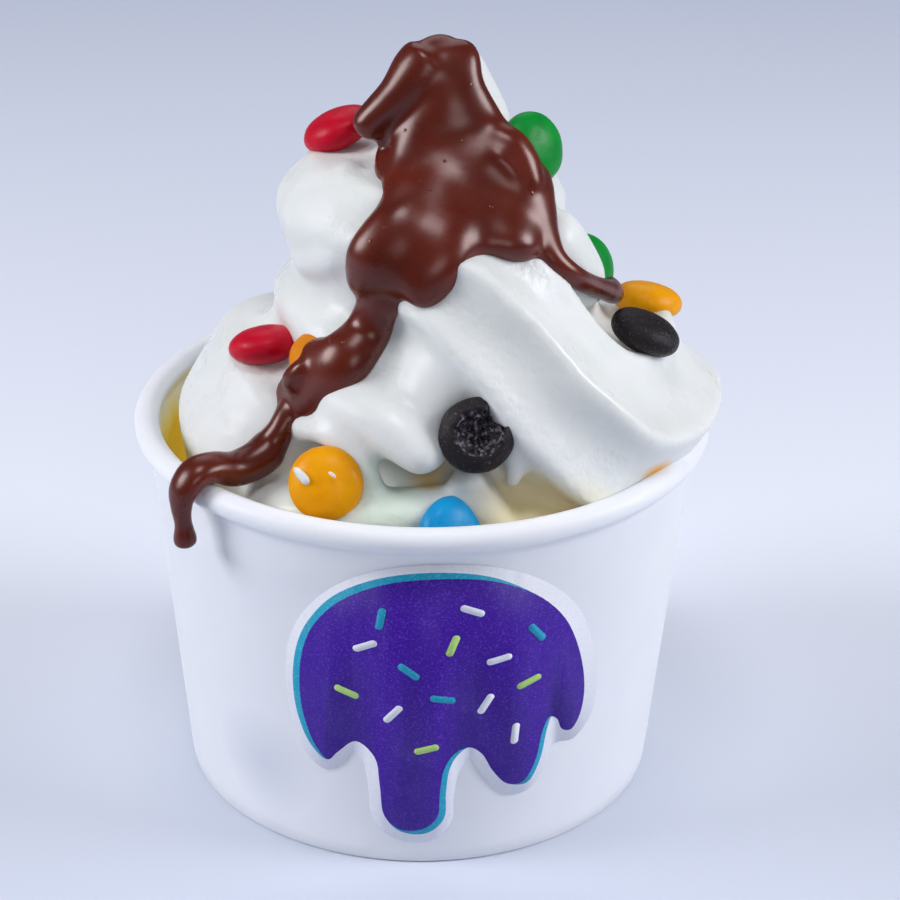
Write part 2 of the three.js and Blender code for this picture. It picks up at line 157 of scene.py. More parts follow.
# the yogurt between the ropes: (radius, height), and how far its axis lies to the right
CORE = [(0, 40), (36, 46), (30, 60), (27, 78), (24, 88), (19, 98), (12, 108), (0, 112)]
CORE_SHIFT = 2
# where the yogurt is tinted: (turn, out, up), how far, and its colour. The golden tints are painted light:
# warm light bounced off the golden inner wall into the shaded cavity, the left gap, a hollow at the front
# and the slit at the right rim. The two pale green-grey tints make the front just above the rim cooler and
# darker.
BOUNCE_LIGHT_AND_TINTS = [((28, 38, 56), 17, "#fbedc0"), ((12, 33, 58), 9, "#f6e6b4"), ((-80, 41, 48), 10, "#f6e6b4"),
           ((-9, 37, 66), 9, "#dbe8dc"), ((-28, 40, 62), 8, "#e6eee6"), ((1, 31, 68), 4.5, "#e9c98a"),
           ((56, 44.5, 65.5), 4.5, "#edb34f")]
SMEARS = [  # yogurt left on the front lentil, and specks of it
    [(-29.5, 41.3, 71.3, 0.3, 0.4), (-27.6, 41.9, 71, 0.55, 0.8), (-26, 42.2, 70.3, 0.6, 0.8),
     (-25, 42.4, 69.6, 0.3, 0.4)],
    [(-21, 41.2, 71.9, 0.2, 0.25), (-20, 41.4, 71.7, 0.25, 0.3), (-19.2, 41.4, 71.2, 0.2, 0.25)],
]

# ---- chocolate sauce: streams of (turn, out, up, half width, half thickness) -------------
POURED = [  # these lie on the yogurt
    # the left edge of the coat, from the peak down to the left lobe
    [(90, 3, 129.5, 4.5, 3.6), (0, 3.6, 126.5, 5.2, 3.6), (-22, 4.5, 121.3, 4, 3.2),
     (-18, 8.7, 116, 3.6, 3), (-14, 13, 111, 4, 3), (-10, 20.5, 107.5, 4.5, 3),
     (-14, 22.7, 104.5, 5.4, 3.2), (-18, 24.8, 101, 5.6, 3.3), (-20, 24, 97, 5, 3.2),
     (-19, 24.2, 94.5, 4, 3)],
    # its middle
    [(74, 4.8, 128.8, 5, 3.6), (31, 7.6, 122.2, 5.5, 3.4), (21, 10.3, 115, 6, 3), (11, 17.5, 109.2, 6, 3),
     (6, 22.7, 104.6, 6, 3.2), (0, 26.3, 99.4, 5, 3.2), (-7, 25.8, 95.7, 3.8, 3)],
    # its right edge, down to the right lobe
    [(52, 6.4, 124.5, 3.6, 3), (48, 10.2, 120.6, 4.2, 3), (48, 14.4, 115, 5, 2.8),
     (43, 19.4, 108.3, 5.6, 3), (36, 24.6, 103.8, 5.2, 3.2), (33, 26.8, 100.8, 4, 3)],
    # over the right of the peak
    [(80, 4.4, 129, 3.6, 3.2), (72, 6, 127.4, 3.2, 2.8), (60, 7, 125.2, 3, 2.8)],
    # between the edges, so that the coat is one sheet
    [(40, 4.8, 127, 4, 3), (20, 7, 122, 5, 3), (0, 10, 117, 5, 3), (-2, 14, 111, 5, 3),
     (-3, 20, 107, 5, 3)],
    [(50, 8, 124, 4, 3), (40, 11, 118, 5, 3), (34, 14.5, 113, 5, 3), (28, 19, 108.5, 5, 3),
     (22, 23, 104.5, 4, 3)],
]
RUNS = [  # these lie on it too, but keep their narrow shape
    # the long run down the left of the front
    [(-14, 25, 97, 4.6, 3), (-19, 24, 92.8, 3.6, 2.8), (-22, 24.5, 88.8, 4, 3), (-27, 27.6, 85, 5, 3.6),
     (-36.3, 28.9, 80.7, 6.6, 4), (-44, 29.2, 76.5, 4.8, 3.4), (-45, 30.5, 73.6, 2.3, 2.3),
     (-44.5, 32, 72, 2.3, 2.3), (-47, 34, 68.6, 3.1, 2.8), (-48, 36, 67, 3.3, 2.8)],
    # the thin lip behind the slit on the left
    [(-62, 6.2, 114, 2.2, 2), (-46, 8.2, 112, 2.4, 2.2), (-31, 10.6, 110.6, 2.4, 2.2),
     (-20, 13.4, 109.6, 2.4, 2.2)],
]
HANGING = [  # and these keep their own way, over gaps, lentils and the rim
    # over the gap and the rim, into a hanging drop
    [(-44, 33, 70, 3, 2.8), (-46, 37, 67.8, 3.3, 3), (-47, 41.5, 67.2, 3.2, 2.8),
     (-47.5, 45, 68.6, 3.1, 2.4), (-48, 48.6, 68.6, 3.2, 2.2), (-48.3, 51, 66, 2.9, 1.9),
     (-48.2, 51.4, 62.8, 1.9, 1.6), (-48, 51.2, 60.4, 1.5, 1.5), (-47.8, 51.2, 58.2, 2, 2),
     (-47.7, 51.1, 56.2, 2.1, 2.1)],
    # the arm that reaches left from the peak
    [(40, 3, 128, 5, 5), (-15, 3.6, 125.5, 5, 4.6), (-42, 6.8, 122, 3.6, 3.4), (-56, 10, 118.6, 3, 2.8),
     (-62, 12, 115.8, 2.6, 2.6)],
    # the round top of the coat
    [(-10, 2.6, 126.4, 3.2, 2.8), (30, 2.4, 127.6, 3.6, 3), (66, 3.2, 128, 3.6, 3),
     (84, 4.8, 127.4, 3.2, 2.8)],
    # the thin run from the film's foot to the right
    [(54, 20.3, 112, 4, 1.8), (51, 22.5, 107.2, 4.2, 2.2), (49, 24.8, 102.5, 3.4, 2.4),
     (49, 27.4, 99.4, 2.4, 2.2), (54, 29.4, 96.6, 1.9, 2), (65, 29.8, 93.2, 1.7, 1.9),
     (73, 30.6, 91, 1.8, 1.9), (79, 31.4, 89.4, 2.3, 1.9), (84, 31.2, 88.6, 2.6, 2),
     (90, 30.4, 88.2, 2.6, 1.9)],
    # the run's left edge over the orange lentil
    [(-37.5, 30.2, 84.6, 1, 0.9), (-40, 31, 82.6, 1.7, 1.4), (-42.5, 31.2, 80.6, 2, 1.6),
     (-43, 31.2, 78.4, 1.6, 1.4)],
]
FILM = [  # the thin film that laps over the upper green lentil, and its edge on the lentil
    [(42, 13, 117.6, 3, 1.3), (50, 17, 116, 4.6, 1.6), (54, 20.3, 112, 4.7, 1.8),
     (51, 22.5, 107.2, 4.4, 2.2), (49, 24.8, 102.5, 3.4, 2.4)],
    [(44, 13.6, 118.6, 2, 1.2), (52, 17.8, 117.4, 2.4, 1.2), (53, 20, 115, 2.4, 1.3),
     (52, 21.4, 112.4, 2.4, 1.4), (51, 22.6, 109, 2.2, 1.6)],
]
COAT_SOFTENED = (0.5, 60, 3.0)  # voxel, smoothing and closing of the coat
SAUCE_SOFTENED = (0.42, 10, 0.8)  # and of the whole sauce

# ---- chocolate lentils ----------------------------------------------------------------
LENTIL_RADIUS = 6
LENTIL_HALF_THICK = 3.1
LENTIL_UNEVEN = 0.025
BROKEN_AT = [(0.3, 0.5, 3.7), (3.8, 3.5, 2.5)]  # (across, up, radius) on the broken one's face
BROKEN_DEEP = 2.7


# ---- places and curves -----------------------------------------------------------------
def around(turn, out, up):
    """The place so far round the cup, so far out of its axis and so far up."""
    angle = math.radians(turn)
    return Vector((out * math.sin(angle), -out * math.cos(angle), up))


def spline(points, along):
    """A centripetal Catmull-Rom curve through the points; along runs from 0 to 1."""
    last = len(points) - 1
    span = min(int(along * last), last - 1)
    part = along * last - span
    b, c = points[span], points[span + 1]
    a = points[span - 1] if span > 0 else 2 * b - c
    d = points[span + 2] if span + 2 <= last else 2 * c - b
    ab, bc, cd = (max((q - p).length, 1e-6) ** 0.5 for p, q in ((a, b), (b, c), (c, d)))
    leave = ((b - a) / ab - (c - a) / (ab + bc) + (c - b) / bc) * bc
    reach = ((c - b) / bc - (d - b) / (bc + cd) + (d - c) / cd) * bc
    return (b + leave * part + (-3 * b + 3 * c - 2 * leave - reach) * part ** 2
            + (2 * b - 2 * c + leave + reach) * part ** 3)


def radial(at):
    """A rope's width lies along this: away from the cup's axis."""
    return Vector((at.x, at.y, 0)).normalized()


def sloping(at):
    """Away from the axis and up, as the side of the heap faces."""
    return (radial(at) + Vector((0, 0, 1))).normalized()


def rightward(at):
    """To the right, for a rope that stands upright on the axis."""
    return Vector((1, 0, 0))


# ---- making meshes ---------------------------------------------------------------------
ROUND_END = 0.55  # how much of its end span a rope's end takes to round off


def tube(sides, stacks):
    """A closed tube about Z with unit radius, one unit high, cut into stacks."""
    bm = bmesh.new()
    bmesh.ops.create_cone(bm, cap_ends=True, segments=sides, radius1=1, radius2=1, depth=1)
    upright = [e for e in bm.edges if abs(e.verts[0].co.z - e.verts[1].co.z) > 0.5]
    bmesh.ops.subdivide_edges(bm, edges=upright, cuts=stacks - 1)
    return bm


def join(bm, part):
    """Adds part to bm and frees part."""
    mesh = bpy.data.meshes.new("part")
    part.to_mesh(mesh)
    part.free()
    bm.from_mesh(mesh)
    bpy.data.meshes.remove(mesh)


def rope(bm, stations, ridges=1, sides=64, step=1.5, facing=radial, wander=0.0):
    """A rope along the stations that tapers to a point at both ends.

    A station's sixth value, if any, is how deep the flutes between its ridges are."""
    places = [around(*s[:3]) for s in stations]
    sizes = [Vector((s[3], s[4], s[5] if len(s) > 5 else 0)) for s in stations]
    length = sum((q - p).length for p, q in zip(places, places[1:]))
    stacks = max(8, round(length / step))
    end_length = ROUND_END / (len(stations) - 1)
    phase = math.pi / 2 / ridges
    sections = []
    for k in range(stacks + 1):
        along = k / stacks
        at = spline(places, along)
        ahead = (spline(places, min(1, along + 1e-3)) - spline(places, max(0, along - 1e-3))).normalized()
        outward = facing(at)
        outward = (outward - ahead * outward.dot(ahead)).normalized()
        size = spline(sizes, along)
        to_end = min(along, 1 - along) / end_length
        taper = 1 if to_end >= 1 else math.sqrt(max(0, 1 - (1 - to_end) ** 2))
        upward = ahead.cross(outward).normalized()
        sections.append((at, outward, upward, size.x * taper, size.y * taper, size.z))
    made = tube(sides, stacks)
    for v in made.verts:
        k = round((v.co.z + 0.5) * stacks)
        at, outward, upward, wide, tall, depth = sections[k]
        angle = math.atan2(v.co.y, v.co.x)
        flute = abs(math.sin(ridges * (angle - phase) / 2))
        star = 1 + depth * (1 - 2 * flute ** 0.8)
        star += wander * noise.noise(at * 0.07 + Vector((math.cos(angle), math.sin(angle), 0)) * 0.9)
        v.co = at + outward * (wide * star * math.cos(angle)) + upward * (tall * star * math.sin(angle))
    bmesh.ops.remove_doubles(made, verts=made.verts, dist=1e-5)
    join(bm, made)


def turned(bm, profile, steps):
    """Turns a profile of (radius, height) pairs about Z."""
    row = [bm.verts.new((r, 0, z)) for r, z in profile]
    edges = [bm.edges.new(pair) for pair in zip(row, row[1:])]
    bmesh.ops.spin(bm, geom=row + edges, axis=(0, 0, 1), cent=(0, 0, 0), steps=steps,
                   angle=2 * math.pi, use_merge=True)
    bmesh.ops.remove_doubles(bm, verts=bm.verts, dist=1e-4)
    bmesh.ops.recalc_face_normals(bm, faces=bm.faces)


def remeshed(bm, voxel, smoothing, closing):
    """The union of everything in bm as one even skin, its narrow grooves closed and smoothed."""
    mesh = bpy.data.meshes.new("mass")
    bm.to_mesh(mesh)
    bm.free()
    holder = bpy.data.objects.new("mass", mesh)
    bpy.context.scene.collection.objects.link(holder)
    for move in (closing, -closing):
        skin = holder.modifiers.new("skin", "REMESH")
        skin.mode = "VOXEL"
        skin.voxel_size = voxel
        push = holder.modifiers.new("push", "DISPLACE")
        push.strength = move
        push.mid_level = 0
    skin = holder.modifiers.new("skin", "REMESH")
    skin.mode = "VOXEL"
    skin.voxel_size = voxel
    soften = holder.modifiers.new("soften", "SMOOTH")
    soften.factor = 0.5
    soften.iterations = smoothing
    evaluated = holder.evaluated_get(bpy.context.evaluated_depsgraph_get())
    made = bmesh.new()
    made.from_mesh(evaluated.to_mesh())
    evaluated.to_mesh_clear()
    bpy.data.objects.remove(holder)
    bpy.data.meshes.remove(mesh)
    return made


def piece(name, bm, materials, replaces=()):
    """Finishes a mesh made in millimetres as a named piece that rides on the frame."""
    bmesh.ops.transform(bm, matrix=Matrix.Scale(MM, 4), verts=bm.verts)
    mesh = bpy.data.meshes.new(name)
    bm.to_mesh(mesh)
    bm.free()
    for m in materials:
        mesh.materials.append(m)
    mesh.polygons.foreach_set("use_smooth", [True] * len(mesh.polygons))
    made = bpy.data.objects.new(name, mesh)
    bpy.context.scene.collection.objects.link(made)
    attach(made, "root")
    if replaces:
        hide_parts(*replaces)
    return made


# ---- making materials ------------------------------------------------------------------
def srgb(code):
    """A linear colour from an sRGB hex value."""
    parts = [int(code[i:i + 2], 16) / 255 for i in (1, 3, 5)]
    return (*(c / 12.92 if c <= 0.04045 else ((c + 0.055) / 1.055) ** 2.4 for c in parts), 1)


def add(tree, kind, inputs=(), **settings):
    """Adds one node; inputs are its sockets' values, or other nodes' sockets to link."""
    made = tree.nodes.new(kind)
    for key, value in settings.items():
        setattr(made, key, value)
    for key, value in dict(inputs).items():
        if isinstance(value, bpy.types.NodeSocket):
            tree.links.new(value, made.inputs[key])
        else:
            made.inputs[key].default_value = value
    return made


def finish_of(name, shader):
    """A new material whose Principled shader has these sockets; returns it, its tree and shader."""
    made = bpy.data.materials.new(name)
    made.use_nodes = True
    tree = made.node_tree
    bsdf = tree.nodes["Principled BSDF"]
    for key, value in shader.items():
        bsdf.inputs[key].default_value = value
    return made, tree, bsdf


def on_piece(tree):
    """Places on the piece itself, in metres."""
    return add(tree, "ShaderNodeTexCoord").outputs["Object"]


def pattern(tree, size_mm, detail=2.0, rough=0.5):
    """Noise over the piece whose blotches are about size_mm across."""
    return add(tree, "ShaderNodeTexNoise", {
        "Vector": on_piece(tree), "Scale": 1 / (size_mm * MM), "Detail": detail, "Roughness": rough,
    }).outputs["Fac"]


def ramp(tree, factor, low, high, low_value, high_value):
    """The factor from low to high brought to low_value .. high_value, clamped."""
    return add(tree, "ShaderNodeMapRange", {
        "Value": factor, "From Min": low, "From Max": high, "To Min": low_value, "To Max": high_value,
    }).outputs["Result"]


def mixed(tree, factor, first, second):
    """A colour between two sRGB values or colour sockets."""
    mix = add(tree, "ShaderNodeMix", data_type="RGBA")
    for index, value in ((0, factor), (6, first), (7, second)):
        if isinstance(value, bpy.types.NodeSocket):
            tree.links.new(value, mix.inputs[index])
        else:
            mix.inputs[index].default_value = srgb(value) if isinstance(value, str) else value
    return mix.outputs[2]


def near_to(tree, place, reach, core):
    """1 within core mm of a (turn, out, up), falling to 0 at reach mm."""
    points = {0: on_piece(tree), 1: around(*place) * MM}
    away = add(tree, "ShaderNodeVectorMath", points, operation="DISTANCE")
    return ramp(tree, away.outputs["Value"], reach * MM, core * MM, 0, 1)


def bumped(tree, bsdf, height, depth_mm, strength=1.0, after=None):
    """Raises the shader's surface by the height; after is an earlier bump that it adds to."""
    inputs = {"Height": height, "Distance": depth_mm * MM, "Strength": strength}
    if after is not None:
        inputs["Normal"] = after
    bump = add(tree, "ShaderNodeBump", inputs).outputs["Normal"]
    tree.links.new(bump, bsdf.inputs["Normal"])
    return bump


def frozen_yogurt():
    """Soft-served frozen yogurt: milky, scatters light below the skin, satin with wet patches."""
    made, tree, bsdf = finish_of("soft_frozen_yogurt", {
        "Subsurface Weight": 0.4, "Subsurface Radius": (1.0, 0.85, 0.7), "Subsurface Scale": 2.5 * MM,
        "IOR": 1.38, "Specular IOR Level": 0.5,
    })
    tone = ramp(tree, pattern(tree, 16), 0.35, 0.65, 0, 1)
    colour = mixed(tree, tone, "#e8eae9", "#e2e6e3")
    # painted light: the golden tints stand for warm bounce light in the shade; the pale green-grey ones
    # cool and darken the front
    for middle, reach, shade in BOUNCE_LIGHT_AND_TINTS:
        colour = mixed(tree, near_to(tree, middle, reach, 0.45 * reach), colour, shade)
    tree.links.new(colour, bsdf.inputs["Base Color"])
    wet = ramp(tree, pattern(tree, 9, 3), 0.45, 0.62, 0.46, 0.26)
    tree.links.new(wet, bsdf.inputs["Roughness"])
    patches = ramp(tree, pattern(tree, 14), 0.48, 0.62, 0, 1)
    grain = add(tree, "ShaderNodeMath", {0: pattern(tree, 1.3, 4), 1: patches}, operation="MULTIPLY")
    soft = bumped(tree, bsdf, pattern(tree, 6, 2), 0.35, 0.5)
    bumped(tree, bsdf, grain.outputs[0], 0.32, 0.7, soft)
    return made


def chocolate():
    """Chocolate sauce set by the cold: dark, smooth, satin gloss with tiny burst bubbles."""
    made, tree, bsdf = finish_of("set_dark_chocolate", {
        "Subsurface Weight": 0.12, "Subsurface Radius": (1.0, 0.35, 0.2), "Subsurface Scale": 1.6 * MM,
        "IOR": 1.5, "Specular IOR Level": 0.6, "Specular Tint": (1, 0.84, 0.8, 1),
    })
    tone = ramp(tree, pattern(tree, 12), 0.35, 0.65, 0, 1)
    tree.links.new(mixed(tree, tone, "#4e1306", "#611b09"), bsdf.inputs["Base Color"])
    tree.links.new(ramp(tree, pattern(tree, 5, 3), 0.35, 0.65, 0.26, 0.32), bsdf.inputs["Roughness"])
    waves = bumped(tree, bsdf, pattern(tree, 5), 0.2, 0.35)
    # burst bubbles lie about 3 mm apart
    cells = add(tree, "ShaderNodeTexVoronoi", {"Vector": on_piece(tree), "Scale": 1 / (3.2 * MM)})
    pin = ramp(tree, cells.outputs["Distance"], 0.03, 0.10, 1, 0)
    bumped(tree, bsdf, pin, 0.12, 0.5, waves)
    return made


def sugar_shell(name, colour, deep):
    """Panned sugar shell of a chocolate lentil: even colour, soft gloss, fine dimples."""
    made, tree, bsdf = finish_of(name, {
        "Subsurface Weight": 0.1, "Subsurface Radius": (1.0, 0.6, 0.4), "Subsurface Scale": 0.8 * MM,
        "IOR": 1.46, "Specular IOR Level": 0.2,
    })
    tone = ramp(tree, pattern(tree, 3.5, 3), 0.35, 0.7, 0, 1)
    tree.links.new(mixed(tree, tone, colour, deep), bsdf.inputs["Base Color"])
    tree.links.new(ramp(tree, pattern(tree, 1.5, 3), 0.4, 0.65, 0.33, 0.46), bsdf.inputs["Roughness"])
    dimples = bumped(tree, bsdf, pattern(tree, 1.1, 3), 0.06, 0.6)
    bumped(tree, bsdf, pattern(tree, 4), 0.15, 0.6, dimples)
    return made


def cocoa_shell():
    """Dark brown sugar shell gone dull and grainy, with light grey-violet sugar specks that are partly a
    painted sheen.
    """
    made, tree, bsdf = finish_of("grainy_cocoa_shell", {"IOR": 1.5, "Specular IOR Level": 0.3})
    grains_and_glints = pattern(tree, 0.5, 4, 0.7)
    # painted sheen: the light grey-violet specks stand partly for glints of light on the sugar
    speck_and_sheen = ramp(tree, grains_and_glints, 0.60, 0.72, 0, 1)
    tree.links.new(mixed(tree, speck_and_sheen, "#130c11", "#75686f"), bsdf.inputs["Base Color"])
    tree.links.new(ramp(tree, grains_and_glints, 0.35, 0.65, 0.6, 0.38), bsdf.inputs["Roughness"])
    bumped(tree, bsdf, grains_and_glints, 0.16, 0.8)
    return made


def cocoa_crumb():
    """Broken cocoa inside of the cracked lentil: nearly black and rough, with painted glints: light
    grey-violet, glossier patches on its faces.
    """
    made, tree, bsdf = finish_of("broken_cocoa_inside", {"IOR": 1.5})
    grains_and_glints = pattern(tree, 0.8, 4, 0.7)
    # painted glints: the light grey-violet patches stand for light caught by the broken faces
    tree.links.new(mixed(tree, ramp(tree, grains_and_glints, 0.52, 0.62, 0, 1), "#120a0d", "#8c8092"),
                   bsdf.inputs["Base Color"])
    tree.links.new(ramp(tree, grains_and_glints, 0.35, 0.65, 0.5, 0.2), bsdf.inputs["Roughness"])
    bumped(tree, bsdf, grains_and_glints, 0.7, 1.0)
    return made


def coated_board():
    """Clay-coated paperboard: white, faintly blue, smooth with the soft mottle of its fibres."""
    made, tree, bsdf = finish_of("clay_coated_paperboard", {
        "Subsurface Weight": 0.3, "Subsurface Radius": (1, 0.95, 0.9), "Subsurface Scale": 1.5 * MM,
        "IOR": 1.45,
    })
    tone = ramp(tree, pattern(tree, 20, 3), 0.35, 0.65, 0, 1)
    white = mixed(tree, tone, "#f2f4f9", "#eef1f7")
    # a faint darker grey-violet patch low on the wall's left front
    tree.links.new(mixed(tree, near_to(tree, LOW_GREY_PATCH, 11, 1), white, "#dcdfea"), bsdf.inputs["Base Color"])
    tree.links.new(ramp(tree, pattern(tree, 7, 3), 0.4, 0.6, 0.42, 0.5), bsdf.inputs["Roughness"])
    fibres = bumped(tree, bsdf, pattern(tree, 0.7, 4, 0.6), 0.03, 0.5)
    bumped(tree, bsdf, pattern(tree, 15, 2), 0.25, 0.5, fibres)
    return made


def inner_board():
    """The board's inner face: white at the rim, cream below it, golden deeper down."""
    made, tree, bsdf = finish_of("inner_board_white_to_gold", {
        "Subsurface Weight": 0.9, "Subsurface Radius": (1, 0.8, 0.5), "Subsurface Scale": 7 * MM,
        "IOR": 1.45,
    })
    height = add(tree, "ShaderNodeSeparateXYZ", {"Vector": on_piece(tree)}).outputs["Z"]
    uneven = ramp(tree, pattern(tree, 9, 2), 0.3, 0.7, -1.5 * MM, 1.5 * MM)
    level = add(tree, "ShaderNodeMath", {0: height, 1: uneven}, operation="ADD").outputs[0]
    # the colour follows the height alone: white at the rim, cream below it, golden deeper down
    cream = mixed(tree, ramp(tree, level, 68 * MM, 65 * MM, 0, 1), "#f4f4f2", "#fdf3d6")
    gold = mixed(tree, ramp(tree, level, 61 * MM, 56 * MM, 0, 1), cream, "#f8b53e")
    tree.links.new(gold, bsdf.inputs["Base Color"])
    tree.links.new(ramp(tree, pattern(tree, 6, 3), 0.4, 0.6, 0.4, 0.55), bsdf.inputs["Roughness"])
    return made


def print_ink(name, colour, fleck):
    """Printed vinyl: an even ink with the fine grain of its laminate."""
    made, tree, bsdf = finish_of(name, {"IOR": 1.48, "Specular IOR Level": 0.25})
    # the laminate's real grain is finer than 0.1 mm; it is drawn at 0.35 mm to show
    grain = ramp(tree, pattern(tree, 0.35, 2), 0.52, 0.7, 0, 1)
    tree.links.new(mixed(tree, grain, colour, fleck), bsdf.inputs["Base Color"])
    tree.links.new(ramp(tree, pattern(tree, 6, 2), 0.4, 0.6, 0.4, 0.5), bsdf.inputs["Roughness"])
    bumped(tree, bsdf, pattern(tree, 0.35, 2), 0.02, 0.5)
    return made


def studio_floor():
    """Matt white table top painted the pale blue of the room's light, with painted shade: darkest at the
    front, lightest just behind the cup and a little darker far back.
    """
    made, tree, bsdf = finish_of("matt_table_top", {"IOR": 1.45, "Roughness": 0.6})
    depth = add(tree, "ShaderNodeSeparateXYZ", {"Vector": on_piece(tree)}).outputs["Y"]
    # painted shade for the fall of light: darker towards the front, and again towards the back
    near = mixed(tree, ramp(tree, depth, -0.12, 0.06, 0, 1), "#bcc4d6", "#e6ebf6")
    colour = mixed(tree, ramp(tree, depth, 0.1, 0.6, 0, 1), near, "#d6dff5")
    tree.links.new(colour, bsdf.inputs["Base Color"])
    return made


# ---- paper cup -------------------------------------------------------------------------
def wall_radius(up):
    """The outside of the wall at this height."""
    return FOOT_RADIUS + (WALL_TOP_RADIUS - FOOT_RADIUS) * up / BEAD_UP


def yogurt_radius(up):
    """How far out the yogurt may reach at this height inside the cup."""
    return wall_radius(up) - WALL - CLEARANCE


def paper_cup(outer, inner):
    bead_out = RIM_RADIUS - BEAD_RADIUS
    inner_low, neck = BOTTOM_UP + BOTTOM_THICK, BEAD_UP - BEAD_RADIUS * 1.1
    foot_inside = wall_radius(BOTTOM_UP) - FOOT_WALL
    # the underside, from the axis out to the standing ring
    profile = [(0, BOTTOM_UP), (30, BOTTOM_UP), (foot_inside - BOTTOM_ROUND, BOTTOM_UP),
               (foot_inside, BOTTOM_UP - BOTTOM_ROUND),
               (FOOT_RADIUS - FOOT_WALL, FOOT_ROUND), (FOOT_RADIUS - FOOT_WALL + FOOT_ROUND, 0),
               (FOOT_RADIUS - FOOT_ROUND, 0), (FOOT_RADIUS, FOOT_ROUND)]
    # up the wall, round the bead, and down the inside
    profile += [(wall_radius(z), z) for z in np.linspace(3, neck - 1.5, 14)]
    profile.append((wall_radius(neck) + 0.1, neck))
    for angle in range(-70, 196, 12):
        a = math.radians(angle)
        profile.append((bead_out + BEAD_RADIUS * math.cos(a), BEAD_UP + BEAD_RADIUS * math.sin(a)))
    profile += [(wall_radius(z) - WALL, z) for z in np.linspace(neck, inner_low + 1, 14)]
    profile += [(wall_radius(inner_low) - WALL - 1, inner_low), (20, inner_low), (0, inner_low)]
    bm = bmesh.new()
    turned(bm, profile, 160)
    for face in bm.faces:
        middle = face.calc_center_median()
        within = math.hypot(middle.x, middle.y) < wall_radius(middle.z) - WALL / 2
        face.material_index = 1 if within and inner_low - 0.5 < middle.z < BEAD_UP else 0
    return piece("cup_board", bm, [outer, inner], ["paper_cup"])


def side_seam(board):
    """The overlap of the board down the cup's back: a low band whose edges sink into the wall."""
    bm = bmesh.new()
    bmesh.ops.create_grid(bm, x_segments=16, y_segments=48, size=1)
    for v in bm.verts:
        across, up = v.co.x, SEAM_BOTTOM + (SEAM_TOP - SEAM_BOTTOM) * (v.co.y + 1) / 2
        turn = 180 + math.degrees(across * SEAM_HALF_WIDTH / wall_radius(up))
        v.co = around(turn, wall_radius(up) + SEAM_RISE * (1 - 2 * abs(across) ** 10), up)
    bmesh.ops.solidify(bm, geom=bm.faces, thickness=0.1)
    return piece("cup_seam", bm, [board])


# ---- label -----------------------------------------------------------------------------
def smooth_ring(points):
    """A closed curve through (x, z) points, as a ring of places."""
    ring = [Vector((x, 0, z)) for x, z in points]
    count = len(ring)
    ring = ring[-2:] + ring + ring[:3]
    last = len(ring) - 1
    return [spline(ring, (2 + k / 5) / last) for k in range(5 * count)]


def wrapped(bm, outline, above, material):
    """Adds a flat outline, cut into strips and wrapped round the wall, above it by so much."""
    start = len(bm.verts)
    verts = [bm.verts.new(p) for p in outline]
    face = bm.faces.new(verts)
    geom = [face, *face.edges, *verts]
    low = min(p.x for p in outline)
    for k in range(1, int((max(p.x for p in outline) - low) / STRIP) + 1):
        cut = bmesh.ops.bisect_plane(bm, geom=geom, plane_co=(low + STRIP * k, 0, 0), plane_no=(1, 0, 0))
        geom = cut["geom"]
    faces = [g for g in geom if isinstance(g, bmesh.types.BMFace)]
    flat = bmesh.ops.triangulate(bm, faces=faces)["faces"]
    bm.verts.ensure_lookup_table()
    for v in list(bm.verts)[start:]:
        out = wall_radius(v.co.z) + above
        v.co.y = -math.sqrt(out ** 2 - v.co.x ** 2)
    for f in flat:
        f.material_index = material
        f.normal_update()
        if f.normal.y > 0:
            f.normal_flip()


def sprinkle(x, z, tilt):
    """The outline of a sprinkle: a short bar with round ends."""
    points = []
    for k in range(16):
        a = 2 * math.pi * k / 16
        end = (SPRINKLE_LENGTH - SPRINKLE_WIDTH) / 2 * (1 if math.cos(a) >= 0 else -1)
        points.append((end + SPRINKLE_WIDTH / 2 * math.cos(a), SPRINKLE_WIDTH / 2 * math.sin(a)))
    turn = math.radians(tilt)
    return [Vector((x + px * math.cos(turn) - pz * math.sin(turn), 0,
                    z + px * math.sin(turn) + pz * math.cos(turn))) for px, pz in points]


def cup_label():
    inks = [print_ink("white_vinyl", "#e9ebf4", "#dfe2ee"), print_ink("cyan_ink", "#1f9dc0", "#45b5d0"),
            print_ink("violet_ink", "#3a1092", "#5a30b8"), print_ink("lime_ink", "#b5dc7c", "#c6e696")]
    bm = bmesh.new()
    wrapped(bm, smooth_ring(STICKER), STICKER_UP, WHITE)
    wrapped(bm, smooth_ring(UNDERPRINT), STICKER_UP + INK_UP, CYAN)
    wrapped(bm, smooth_ring(PRINT), STICKER_UP + 2 * INK_UP, VIOLET)
    for x, z, tilt, ink in SPRINKLES:
        wrapped(bm, sprinkle(x, z, tilt), STICKER_UP + 3 * INK_UP, ink)
    made = piece("label_print", bm, inks, ["cup_label"])
    shell = made.modifiers.new("vinyl", "SOLIDIFY")
    shell.thickness = LABEL_THICK * MM
    shell.offset = -1
    return made


